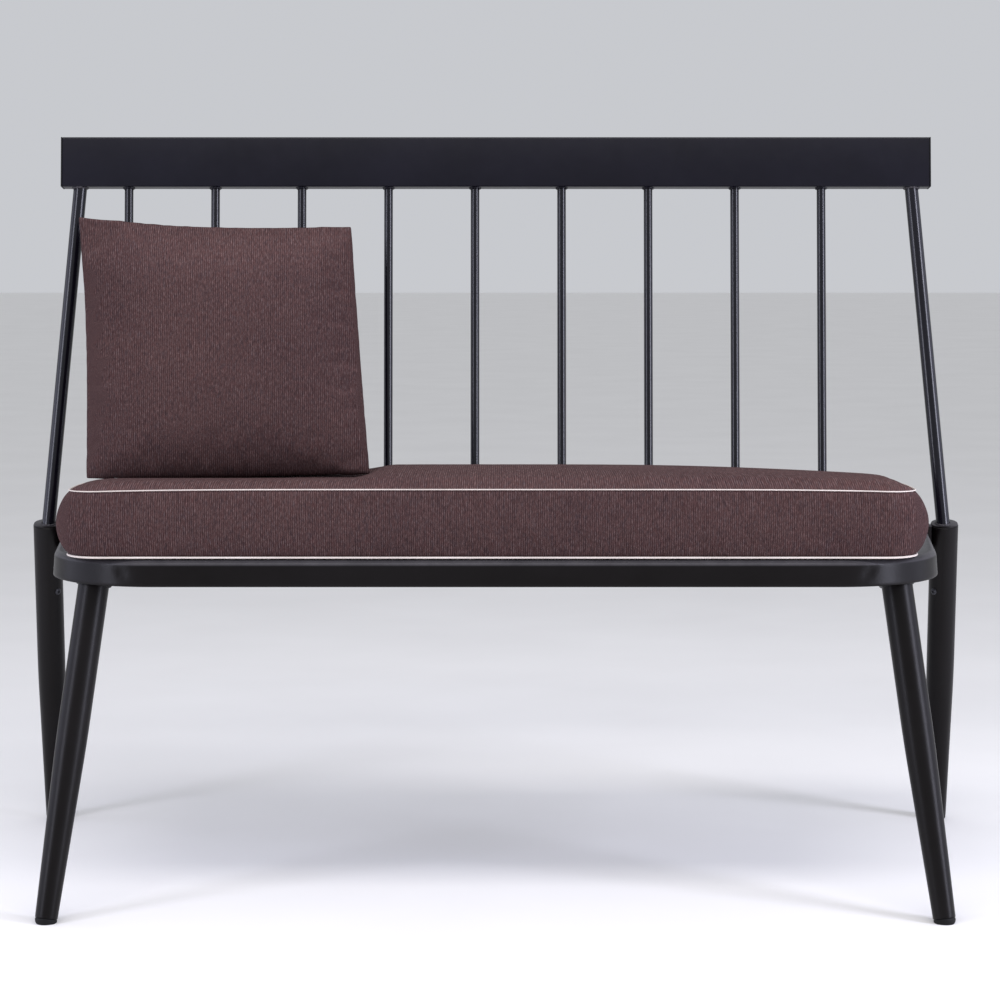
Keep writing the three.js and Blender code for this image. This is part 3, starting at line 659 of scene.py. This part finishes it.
def seat_ring(inset, z):
    """The seat's outline at one point of its section."""
    if inset <= SEAT_REAR_CORNER[1]:
        inset += DRAFT * (z - PAN_LOW.z) / (SEAT_TOP - PAN_LOW.z)
    if inset <= SEAT_REAR_CORNER[1]:
        return [(x, y, z) for x, y in seat_outline(inset)]
    inward = inset - SEAT_ROLL  # too far for the small corners, so the outline is scaled instead
    return [(x * (1 - inward / 0.6), y * (1 - inward / 0.22), z) for x, y in seat_outline(SEAT_ROLL)]


def build_seat_pan():
    """One pressed sheet: rolled top edge, skirt with a turned-in hem and two small press marks."""
    rings = [seat_ring(inset, z) for inset, z in seat_section()]
    vertices = []
    for x, y, z in [point for ring in rings for point in ring]:
        dent = PRESS_MARK_DEPTH * press_marks(x, z) if y < 0 else 0
        vertices.append((x, y + dent, z))
    size = len(rings[0])
    last = (len(rings) - 1) * size
    faces = [f[::-1] for f in ring_faces(len(rings), size, False)]
    faces += [tuple(range(size)), tuple(range(last, last + size))[::-1]]
    steel("seat_pan_sheet", (vertices, faces), ["seat_pan"])


def build_bars():
    """The rear seat rail between the legs and the three braces from front to back."""
    for node in ("rear_seat_rail", "seat_brace_1", "seat_brace_2", "seat_brace_3"):
        low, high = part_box(node)
        size, middle = high - low, (low + high) / 2
        across = node == "rear_seat_rail"
        length = 2 * (REAR_LEG_TOP.x - LEG_RADIUS - 1 * MM) if across else size.y
        depth = size.y if across else size.x
        bar = section_bar(length, depth, size.z, BAR_CORNER, BAR_WALL, along_y=not across)
        steel(f"{node}_tube", moved(bar, Matrix.Translation(middle)), [node])


def build_brackets_and_plates():
    edge = 0.6 * MM
    for word, side in SIDES:
        low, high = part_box(f"rear_rail_bracket_{word}")
        inner, outer = max(low.x, -BRACKET_END), min(high.x, BRACKET_END)
        bracket = block((inner, low.y, low.z), (outer, high.y, high.z), 0.8 * MM)
        steel(f"rear_bracket_{word}", bracket, [f"rear_rail_bracket_{word}"])
        low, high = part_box(f"front_leg_plate_{word}")
        middle, radius, thick = (low + high) / 2, (high.x - low.x) / 2, high.z - low.z
        rim = [(radius - edge, 0), (radius, edge), (radius, thick - edge), (radius - edge, thick)]
        disc = turned(rim, 64)
        place = Matrix.Translation((middle.x, middle.y, low.z))
        steel(f"leg_plate_{word}", moved(disc, place), [f"front_leg_plate_{word}"])


def build_bolts():
    """Upright bolts under the seat, and screws from the pan's back skirt into the rear rail."""
    for node in [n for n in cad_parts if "_bolt_" in n or n.startswith("pan_screw")]:
        low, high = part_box(node)
        middle = (low + high) / 2
        if node.startswith("pan_screw"):
            head = Matrix.Translation((middle.x, low.y + BOLT_HEAD_HEIGHT, middle.z))
            place = head @ Matrix.Rotation(-math.pi / 2, 4, "X")
            length = high.y - low.y - BOLT_HEAD_HEIGHT
        else:
            place = Matrix.Translation((middle.x, middle.y, low.z + BOLT_HEAD_HEIGHT))
            length = high.z - low.z - BOLT_HEAD_HEIGHT
        steel(f"{node}_hex", moved(hex_bolt(length), place), [node], FASTENER, "fastener_steel")


# ---- Soft pieces ----
def points_of(piece):
    return np.array([v.co for v in piece.data.vertices])


def set_points(piece, points):
    piece.data.vertices.foreach_set("co", np.asarray(points, np.float32).ravel())
    piece.data.update()


def inflate(piece, pinned, pressure, cap, slack, frames=20):
    """Blow the piece up as cloth round its stuffing, hold the pinned points, and keep the result. The
    cloth is cut larger by the share slack, and no point moves further than cap."""
    rest = points_of(piece)
    pins = piece.vertex_groups.new(name="pins")
    pins.add([int(i) for i in pinned], 1.0, "REPLACE")
    modifier = piece.modifiers.new("Cloth", "CLOTH")
    cloth = modifier.settings
    cloth.quality = 6
    cloth.mass = 0.25
    cloth.tension_stiffness = cloth.compression_stiffness = 18
    cloth.shear_stiffness = 6
    cloth.bending_stiffness = 0.6
    cloth.air_damping = 1.5
    cloth.use_pressure = True
    cloth.uniform_pressure_force = pressure
    cloth.shrink_min = -slack
    cloth.vertex_group_mass = "pins"
    cloth.pin_stiffness = 1
    cloth.effector_weights.gravity = 0
    modifier.point_cache.frame_end = frames
    scene = bpy.context.scene
    for number in range(1, frames + 1):
        scene.frame_set(number)
    result = piece.evaluated_get(bpy.context.evaluated_depsgraph_get()).data
    shift = np.array([v.co for v in result.vertices]) - rest
    piece.modifiers.remove(modifier)
    scene.frame_set(1)
    far = np.linalg.norm(shift, axis=1, keepdims=True)
    shift *= np.minimum(1, cap / np.maximum(far, 1e-9))
    set_points(piece, rest + shift)


def subdivide(piece):
    modifier = piece.modifiers.new("Fine", "SUBSURF")
    modifier.levels = modifier.render_levels = 1
    result = piece.evaluated_get(bpy.context.evaluated_depsgraph_get())
    mesh = bpy.data.meshes.new_from_object(result)
    piece.modifiers.remove(modifier)
    piece.vertex_groups.clear()
    piece.data = mesh
    mesh.shade_smooth()


def outward(loop, k):
    """The level direction that points out of a closed anticlockwise loop at its point k."""
    along = loop[(k + 1) % len(loop)] - loop[k - 1]
    return along.cross(Vector((0, 0, 1))).normalized()


def sweep_round(path, radius, sides=12):
    """A closed cord along a loop of points."""
    count = len(path)
    vertices = []
    for i, point in enumerate(path):
        along = (path[(i + 1) % count] - path[i - 1]).normalized()
        out = outward(path, i)
        up = out.cross(along)
        for k in range(sides):
            turn = 2 * math.pi * k / sides
            vertices.append(point + (out * math.cos(turn) + up * math.sin(turn)) * radius)
    return vertices, ring_faces(count, sides, True)


def smooth_loop(path, parts):
    """The same closed loop with more points, on a smooth curve through the given ones."""
    count = len(path)
    out = []
    for i in range(count):
        p0, p1, p2, p3 = path[i - 1], path[i], path[(i + 1) % count], path[(i + 2) % count]
        for k in range(parts):
            t = k / parts
            out.append(0.5 * ((2 * p1) + (p2 - p0) * t + (2 * p0 - 5 * p1 + 4 * p2 - p3) * t * t
                              + (3 * p1 - p0 - 3 * p2 + p3) * t ** 3))
    return out


# ---- Cushion ----
CUSHION_LEFT, CUSHION_RIGHT = -522.5 * MM, 515 * MM
CUSHION_FRONT, CUSHION_BACK = -236 * MM, 152 * MM
CUSHION_MIDDLE, CUSHION_HALF = (CUSHION_LEFT + CUSHION_RIGHT) / 2, (CUSHION_RIGHT - CUSHION_LEFT) / 2
SEAM_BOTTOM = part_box("cushion_bottom_panel")[0].z + 2.2 * MM
SEAM_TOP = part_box("cushion_piping_top")[1].z - 0.2 * MM
FRONT_CORNER, BACK_CORNER = 42 * MM, 110 * MM
END_SINK, REAR_SINK = 3.8 * MM, 14.7 * MM  # of the top seam
CORNER_SINKS = (22 * MM, 26 * MM)  # of its rear corners, left and right
EDGE_PUFF, EDGE_WIDTH = 6 * MM, 30 * MM  # how far the panel rises from that seam, and within what width
BASE_DROP, BASE_EDGE = 1.8 * MM, 12 * MM  # the same for the base, below the bottom seam
BAND_SWELL, BAND_SWELL_AT_ENDS = 8 * MM, 16 * MM
TOP_INSET = 3 * MM  # how much shorter the top panel is than the bottom one, at each end
HOLLOW_Z, HOLLOW_SLOPE = 510.5 * MM, 0.085  # of the hollow under the pillow, along its lower edge
CUSHION_COLUMNS, CUSHION_ROWS, BAND_ROWS = 128, 48, 10  # of the mesh
PIPING = (("top", 0.8 * MM, 0.2 * MM), ("bottom", 1.3 * MM, 0))  # radius, height over its seam
PIPING_STANDS_OUT = 1.3 * MM


def rounded(x, y):
    """Carry a point of the sharp-cornered rectangle into the one with rounded corners."""
    radius = FRONT_CORNER if y < (CUSHION_FRONT + CUSHION_BACK) / 2 else BACK_CORNER
    cx = CUSHION_LEFT + radius if x < CUSHION_LEFT + radius else CUSHION_RIGHT - radius
    cy = CUSHION_FRONT + radius if y < CUSHION_FRONT + radius else CUSHION_BACK - radius
    beyond_x = x < CUSHION_LEFT + radius or x > CUSHION_RIGHT - radius
    beyond_y = y < CUSHION_FRONT + radius or y > CUSHION_BACK - radius
    if not (beyond_x and beyond_y):
        return x, y
    a, b = (x - cx) / radius, (y - cy) / radius
    return cx + radius * a * math.sqrt(1 - b * b / 2), cy + radius * b * math.sqrt(1 - a * a / 2)


def droop(x, y):
    """How far the cushion's top seam has sunk: towards the ends, and more and more towards the back."""
    along = min(abs(x - CUSHION_MIDDLE) / CUSHION_HALF, 1)
    depth = max(y - CUSHION_FRONT, 0) / (CUSHION_BACK - CUSHION_FRONT)
    left, right = CORNER_SINKS
    corner = right if x > CUSHION_MIDDLE else left
    return END_SINK * along ** 5.4 + (REAR_SINK + corner * along ** 3.4) * depth ** 2.4


def panel_point(x, y, layer):
    """A point of the top panel (layer 0) or the bottom one (layer 1), from its place in the rectangle."""
    edge = min(x - CUSHION_LEFT, CUSHION_RIGHT - x, y - CUSHION_FRONT, CUSHION_BACK - y)
    x, y = rounded(x, y)
    if layer:
        return Vector((x, y, SEAM_BOTTOM - BASE_DROP * min(edge, BASE_EDGE) / BASE_EDGE))
    z = SEAM_TOP - droop(x, y) + EDGE_PUFF * (1 - math.exp(-3 * edge / EDGE_WIDTH))
    return Vector((x - TOP_INSET * (x - CUSHION_MIDDLE) / CUSHION_HALF, y, z))


def on_panel(layer, i, j):
    """The number of a panel's vertex in the cushion's mesh."""
    return layer * (CUSHION_COLUMNS + 1) * (CUSHION_ROWS + 1) + j * (CUSHION_COLUMNS + 1) + i


def panel_edge(layer):
    """The vertex numbers round a panel, anticlockwise from its front left corner."""
    nx, ny = CUSHION_COLUMNS, CUSHION_ROWS
    rim = [(i, 0) for i in range(nx)] + [(nx, j) for j in range(ny)]
    rim += [(i, ny) for i in range(nx, 0, -1)] + [(0, j) for j in range(ny, 0, -1)]
    return [on_panel(layer, i, j) for i, j in rim]


def cushion_panels():
    """Both panels as (vertices, faces)."""
    vertices, faces = [], []
    for layer in (0, 1):
        for y in np.linspace(CUSHION_FRONT, CUSHION_BACK, CUSHION_ROWS + 1):
            for x in np.linspace(CUSHION_LEFT, CUSHION_RIGHT, CUSHION_COLUMNS + 1):
                vertices.append(panel_point(x, y, layer))
    for j in range(CUSHION_ROWS):
        for i in range(CUSHION_COLUMNS):
            square = ((i, j), (i + 1, j), (i + 1, j + 1), (i, j + 1))
            faces.append([on_panel(0, *corner) for corner in square])
            faces.append([on_panel(1, *square[k]) for k in (0, 3, 2, 1)])
    return vertices, faces


def add_side_band(vertices, faces):
    """Join the panels with a band that swells outwards, most of all at the two ends."""
    loops = [panel_edge(0)]
    upper, lower = ([vertices[k] for k in panel_edge(layer)] for layer in (0, 1))
    for r in range(1, BAND_ROWS):
        share = r / BAND_ROWS
        loops.append(list(range(len(vertices), len(vertices) + len(upper))))
        for k, (high, low) in enumerate(zip(upper, lower)):
            out = outward(upper, k)
            fullest = BAND_SWELL + (BAND_SWELL_AT_ENDS - BAND_SWELL) * abs(out.x) ** 1.5
            swell = fullest * math.sin(math.pi * share) ** 0.7
            vertices.append(high.lerp(low, share) + out * swell)
    loops.append(panel_edge(1))
    for above, below in zip(loops, loops[1:]):
        for k in range(len(upper)):
            after = (k + 1) % len(upper)
            faces.append((above[k], below[k], below[after], above[after]))


def build_cushion():
    """The cover, held at its seams and its whole base. Gives back the cover and its two seams."""
    vertices, faces = cushion_panels()
    add_side_band(vertices, faces)
    cushion = new_piece("cushion_cover", vertices, faces, CUSHION_CLOTH, "seat_cushion", "cushion_cloth", [
        "cushion_top_panel", "cushion_side_band", "cushion_bottom_panel", "cushion_foam"], sharp=180)
    base = range(on_panel(1, 0, 0), on_panel(1, CUSHION_COLUMNS, CUSHION_ROWS) + 1)
    inflate(cushion, sorted({*panel_edge(0), *base}), pressure=4, cap=4.5 * MM, slack=0.01)
    return cushion, [[vertices[k] for k in panel_edge(layer)] for layer in (0, 1)]


def build_piping(seams):
    for (word, radius, lift), seam in zip(PIPING, seams):
        path = [point + outward(seam, k) * PIPING_STANDS_OUT + Vector((0, 0, lift))
                for k, point in enumerate(seam)]
        cord = sweep_round(smooth_loop(path, 2), radius)
        new_piece(f"piping_{word}", *cord, TWILL, "seat_cushion", "piping_cloth",
                  [f"cushion_piping_{word}"], sharp=180)


# ---- Pillow ----
PILLOW_CORNERS = {  # of the sewn edge
    "bottom_left": Vector((-0.5398, 0.045, 0.5074)),
    "bottom_right": Vector((-0.1636, 0.041, 0.5137)),
    "top_left": Vector((-0.5706, 0.207, 0.8536)),
    "top_right": Vector((-0.1958, 0.207, 0.8397)),
}
PILLOW_BOW = {"left": 4 * MM, "right": -0.5 * MM, "top": 8 * MM, "bottom": -2.5 * MM}  # drawn inwards
PILLOW_SWELL = 43 * MM  # half its thickness at the fullest, before it is inflated
PILLOW_SQUARES = 64  # of the mesh, along each edge


def pillow_axes():
    c = PILLOW_CORNERS
    across = ((c["bottom_right"] + c["top_right"]) - (c["bottom_left"] + c["top_left"])).normalized()
    up = ((c["top_left"] + c["top_right"]) - (c["bottom_left"] + c["bottom_right"])).normalized()
    return across, up, across.cross(up).normalized()


def pillow_middle(u, v, across, up):
    """The surface halfway between the panels, for u and v from -1 to 1. Its edges are drawn in."""
    c, s, t = PILLOW_CORNERS, (1 + u) / 2, (1 + v) / 2
    low = c["bottom_left"].lerp(c["bottom_right"], s)
    high = c["top_left"].lerp(c["top_right"], s)
    arch_v = math.sin(math.pi * t ** 1.3)  # fullest a little above the middle
    arch_u = math.sin(math.pi * s ** 0.8)  # and a little left of it
    inward = PILLOW_BOW["left"] * (1 - s) ** 2 * arch_v - PILLOW_BOW["right"] * s * s * arch_v
    downward = PILLOW_BOW["top"] * t * t * arch_u - PILLOW_BOW["bottom"] * (1 - t) ** 2 * arch_u
    return low.lerp(high, t) + across * inward - up * downward


def pillow_swell(u, v):
    """Half the pillow's thickness before it is inflated. The filling settles low."""
    low = (1 - abs(min(v, 0)) ** 6) ** 0.5
    high = (1 - max(v, 0) ** 2) ** 0.6
    return PILLOW_SWELL * (1 - u * u) ** 0.5 * low * high


def build_pillow():
    """Two panels that share their sewn edge, inflated with that edge held."""
    across, up, forward = pillow_axes()
    cloth = slub_cloth("pillow_cloth", (0, 0, math.radians(-4)))
    n = PILLOW_SQUARES
    steps = range(n + 1)
    vertices, faces, index, edge = [], [], {}, []
    for face in (1, -1):
        for j in steps:
            for i in steps:
                sewn = i in (0, n) or j in (0, n)
                if sewn and face < 0:
                    index[face, i, j] = index[1, i, j]
                    continue
                if sewn:
                    edge.append(len(vertices))
                u, v = 2 * i / n - 1, 2 * j / n - 1
                index[face, i, j] = len(vertices)
                swell = forward * face * pillow_swell(u, v)
                vertices.append(pillow_middle(u, v, across, up) + swell)
    for j in range(n):
        for i in range(n):
            square = ((i, j), (i + 1, j), (i + 1, j + 1), (i, j + 1))
            faces.append([index[1, *corner] for corner in square])
            faces.append([index[-1, *square[k]] for k in (0, 3, 2, 1)])
    pillow = new_piece("pillow_cover", vertices, faces, cloth, "pillow", "pillow_cloth", [
        "pillow_front_panel", "pillow_back_panel", "pillow_filling"], sharp=180)
    inflate(pillow, edge, pressure=5, cap=14 * MM, slack=0.02)
    return pillow


def sink_under_pillow(cushion):
    """The broad hollow that the pillow's weight makes in the top of the cushion."""
    edge = PILLOW_CORNERS["bottom_right"]
    soften = 2.5 * MM  # over this height the hollow eases into the panel
    past_edge, width = 32 * MM, 55 * MM  # where the hollow ends beside the pillow, and how gently
    lowest = SEAM_TOP - 25 * MM  # what lies under this height stays
    points = points_of(cushion)
    for point in points:
        x, y, z = point
        if z < lowest:
            continue
        share = min(max((edge.x + past_edge - x) / width, 0), 1)
        share = share * share * (3 - 2 * share)
        slope = HOLLOW_SLOPE if y < edge.y else HOLLOW_SLOPE * 0.6
        above = (z - (HOLLOW_Z + slope * abs(y - edge.y))) / soften
        point[2] = z - share * soften * (above if above > 20 else math.log1p(math.exp(above)))
    set_points(cushion, points)


def settle(cushion, pillow):
    """Press the cushion's top down under the pillow's lower edge, with a soft border round the dent."""
    clearance, search, margin = 0.8 * MM, 60 * MM, 10 * MM
    lowest = SEAM_TOP - 30 * MM  # what lies under this height stays
    passes = 14  # each one widens the border
    tree = BVHTree.FromObject(pillow, bpy.context.evaluated_depsgraph_get())
    low, high = np.min(points_of(pillow), 0), np.max(points_of(pillow), 0)
    points = points_of(cushion)
    neighbours = [[] for _ in points]
    for edge in cushion.data.edges:
        a, b = edge.vertices
        neighbours[a].append(b)
        neighbours[b].append(a)
    need = np.zeros(len(points))
    for k, (x, y, z) in enumerate(points):
        below = low[0] - margin < x < high[0] + margin and low[1] - margin < y < high[1]
        if not below or z <= lowest:
            continue
        hit = tree.ray_cast(Vector((x, y, z - search)), Vector((0, 0, 1)), 2 * search)[0]
        if hit is not None:
            need[k] = max(0, z + clearance - hit.z)
    press = need.copy()
    for _ in range(passes):
        spread = np.array([press[n].mean() if n else 0 for n in neighbours])
        press = np.maximum(need, 0.5 * press + 0.5 * spread)
    points[:, 2] -= press
    set_points(cushion, points)


# ---- Floor, light and camera ----
LIGHTS = (  # name, place, width, height, power, colour, aimed at
    ("window_left", (-1.9, -1.3, 1.0), 0.5, 1.6, 22, (0.82, 0.83, 1), (-0.4, 0.1, 0.6)),
    ("window_right", (2.8, -1.6, 1.3), 0.8, 2.4, 90, (0.82, 0.83, 1), (0, 0, 0.6)),
    ("wall_left", (-2.6, -0.15, 0.75), 2.0, 1.3, 14, (0.74, 0.76, 1), (0, 0, 0.5)),
    ("wall_right", (2.6, -0.15, 0.75), 2.0, 1.3, 11, (0.74, 0.76, 1), (0, 0, 0.5)),
    ("ceiling", (0, -1.2, 2.4), 2.6, 0.6, 30, (1, 0.97, 0.97), (0, 0, 0.4)),
)
DAYLIGHT, DAYLIGHT_STRENGTH = (0.93, 0.95, 1.0, 1), 0.62
FLOOR_REACH = 30
CAMERA_PLACE = (0.0057, -3.345, 0.8376)
CAMERA_DOWN = math.radians(6.014)  # from level
CAMERA_LENS, CAMERA_SENSOR = 93.226, 36


def build_floor():
    r = FLOOR_REACH
    mesh = bpy.data.meshes.new("floor")
    mesh.from_pydata([(-r, -r, 0), (r, -r, 0), (r, r, 0), (-r, r, 0)], [], [(0, 1, 2, 3)])
    material, tree, shader = new_material("floor_paint", Roughness=0.8, Specular_IOR_Level=0.2)
    place = object_place(tree)
    color = ramp(tree, noise_at(tree, place, 3, 3), [
        (0.3, (0.86, 0.85, 0.835)), (0.7, (0.89, 0.88, 0.865))])
    tree.links.new(color, shader.inputs["Base Color"])
    mesh.materials.append(material)
    floor = bpy.data.objects.new("floor", mesh)
    bpy.context.scene.collection.objects.link(floor)


def build_lights():
    world = bpy.data.worlds.new("studio")
    bpy.context.scene.world = world
    world.use_nodes = True
    background = world.node_tree.nodes["Background"]
    background.inputs["Color"].default_value = DAYLIGHT
    background.inputs["Strength"].default_value = DAYLIGHT_STRENGTH
    for name, place, width, height, power, color, target in LIGHTS:
        light = bpy.data.lights.new(name, "AREA")
        light.shape = "RECTANGLE"
        light.size, light.size_y = width, height
        light.energy = power
        light.color = color
        lamp = bpy.data.objects.new(name, light)
        lamp.location = place
        lamp.visible_camera = False
        lamp.rotation_euler = (Vector(target) - Vector(place)).to_track_quat("-Z", "Y").to_euler()
        bpy.context.scene.collection.objects.link(lamp)


def build_camera():
    camera = bpy.data.cameras.new("camera")
    camera.sensor_width = CAMERA_SENSOR
    camera.lens = CAMERA_LENS
    holder = bpy.data.objects.new("camera", camera)
    holder.location = CAMERA_PLACE
    holder.rotation_euler = (math.pi / 2 - CAMERA_DOWN, 0, 0)
    bpy.context.scene.collection.objects.link(holder)
    bpy.context.scene.camera = holder


bpy.context.scene.view_settings.view_transform = "Standard"
build_camera()
build_floor()
build_lights()
build_legs()
build_spindles()
build_top_rail()
build_seat_pan()
build_bars()
build_brackets_and_plates()
build_bolts()
pillow = build_pillow()
cushion, seams = build_cushion()
sink_under_pillow(cushion)
settle(cushion, pillow)
build_piping(seams)
for soft, fill in ((cushion, 0.85), (pillow, 0.75)):
    subdivide(soft)
